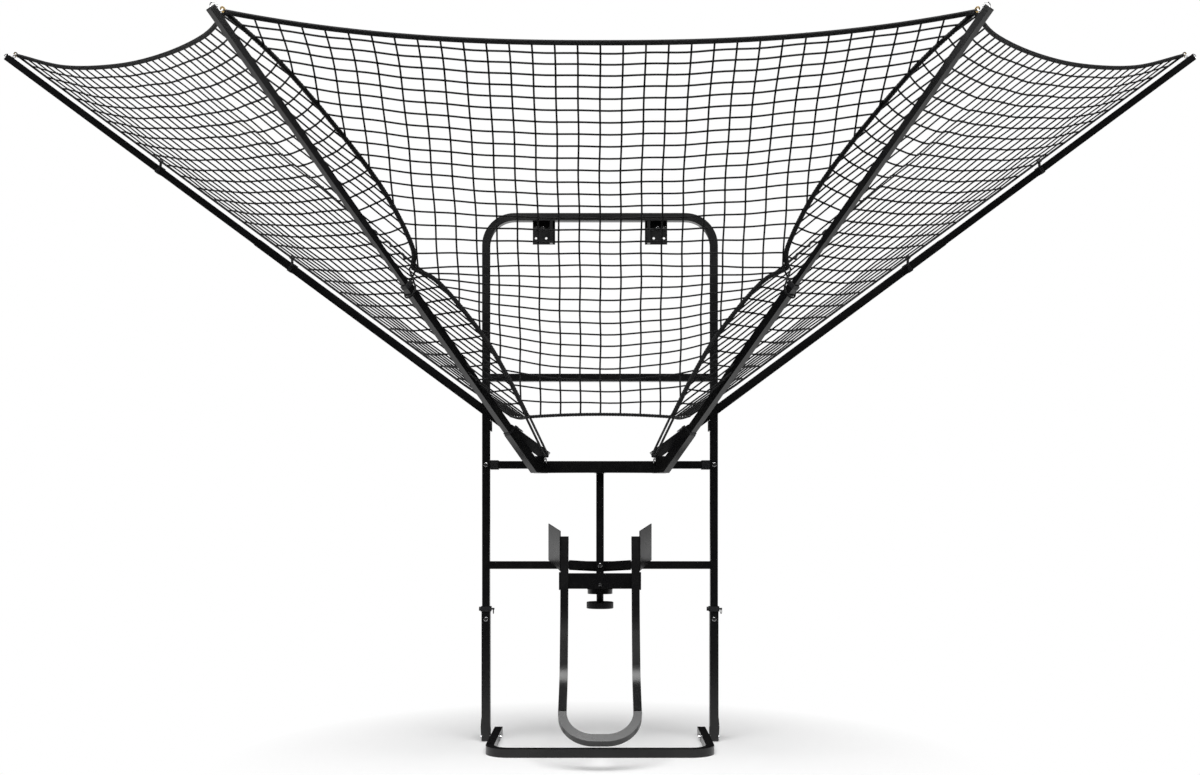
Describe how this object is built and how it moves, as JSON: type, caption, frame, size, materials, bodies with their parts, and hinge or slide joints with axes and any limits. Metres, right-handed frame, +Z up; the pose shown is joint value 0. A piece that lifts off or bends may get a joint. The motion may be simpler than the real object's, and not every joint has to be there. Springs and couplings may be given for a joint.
{
  "type": "basketball shot return stand with funnel net",
  "caption": "Upright tube frame on a folding floor base, with a funnel net on four arms that drops the ball on to a swivelling return ramp.",
  "frame": {"origin": "on the floor under the middle of the base's front bar", "axes": "+X to the player's right as they face the net, -Y towards the player, +Z up"},
  "size_m": [4.8118, 1.3821, 2.7082],
  "materials": {
    "powder_coat": "satin black powder coat on steel",
    "chrome_hardware": "bright chrome bolts and rings",
    "brass_fittings": "brass grommets and washer",
    "black_plastic": "moulded black plastic",
    "wheel_rubber": "black rubber tyre",
    "net_cord": "braided black net cord",
    "webbing": "black sewn webbing border"
  },
  "bodies": {
    "base": {"base_frame": "powder_coat", "base_end_caps": "black_plastic"},
    "left_wheel_body": {"left_wheel": "wheel_rubber"},
    "right_wheel_body": {"right_wheel": "wheel_rubber"},
    "left_arm_pin_body": {"left_arm_pin": "black_plastic"},
    "right_arm_pin_body": {"right_arm_pin": "black_plastic"},
    "ramp": {"ramp_frame": "powder_coat", "ramp_guides": "powder_coat", "return_loop": "powder_coat"},
    "knob": {"hand_knob": "black_plastic"},
    "upright": {"left_lower_leg": "powder_coat", "right_lower_leg": "powder_coat", "upper_frame": "powder_coat", "upper_crossbar": "powder_coat", "middle_crossbar": "powder_coat", "lower_crossbar": "powder_coat", "crossbar_gusset": "powder_coat", "centre_post": "powder_coat", "top_brackets": "powder_coat", "arm_rest_plates": "powder_coat", "arm_carrier_strap": "powder_coat", "left_arm_sockets": "powder_coat", "right_arm_sockets": "powder_coat", "left_front_arm_lower": "powder_coat", "right_front_arm_lower": "powder_coat", "left_front_arm_upper": "powder_coat", "right_front_arm_upper": "powder_coat", "front_arm_joiners": "powder_coat", "left_rear_arm_inner": "powder_coat", "right_rear_arm_inner": "powder_coat", "left_rear_arm_outer": "powder_coat", "right_rear_arm_outer": "powder_coat", "friction_disc": "powder_coat", "base_pivot_bolts": "chrome_hardware", "leg_stop_bolts": "chrome_hardware", "wheel_axles": "chrome_hardware", "frame_bolts": "chrome_hardware", "swivel_bolt": "chrome_hardware", "net_rings": "chrome_hardware", "net_grommets": "brass_fittings", "brass_washer": "brass_fittings", "leg_collars": "black_plastic", "crossbar_collars": "black_plastic", "socket_collars": "black_plastic", "arm_bushings": "black_plastic", "arm_end_caps": "black_plastic", "left_leg_pin": "black_plastic", "right_leg_pin": "black_plastic", "net_clips": "black_plastic", "centre_net": "net_cord", "left_net": "net_cord", "right_net": "net_cord", "mid_ties": "net_cord", "edge_cords": "net_cord", "bottom_straps": "net_cord", "top_border": "webbing", "bottom_borders": "webbing", "outer_borders": "webbing", "net_seams": "webbing"}
  },
  "joints": [
    {"name": "base_fold", "type": "hinge", "parent": "base", "child": "upright", "pos_m": [0, 0.3, 0.015], "axis": [1, 0, 0], "range_deg": [0, 90]},
    {"name": "ramp_swivel", "type": "hinge", "parent": "upright", "child": "ramp", "pos_m": [0, 0.272, 0.579], "axis": [0, 0, 1], "range_deg": [-20, 20]},
    {"name": "knob_turn", "type": "hinge", "parent": "upright", "child": "knob", "pos_m": [0, 0.272, 0.51], "axis": [0, 0, 1], "continuous": true},
    {"name": "left_wheel_spin", "type": "hinge", "parent": "upright", "child": "left_wheel_body", "pos_m": [-0.436, 0.362, 0.044], "axis": [1, 0, 0], "continuous": true},
    {"name": "right_wheel_spin", "type": "hinge", "parent": "upright", "child": "right_wheel_body", "pos_m": [0.436, 0.362, 0.044], "axis": [1, 0, 0], "continuous": true},
    {"name": "left_arm_pin_pull", "type": "slide", "parent": "upright", "child": "left_arm_pin_body", "axis": [0.5796, -0.1089, 0.8076], "range_m": [0, 0.04]},
    {"name": "right_arm_pin_pull", "type": "slide", "parent": "upright", "child": "right_arm_pin_body", "axis": [-0.5796, -0.1089, 0.8076], "range_m": [0, 0.04]}
  ]
}
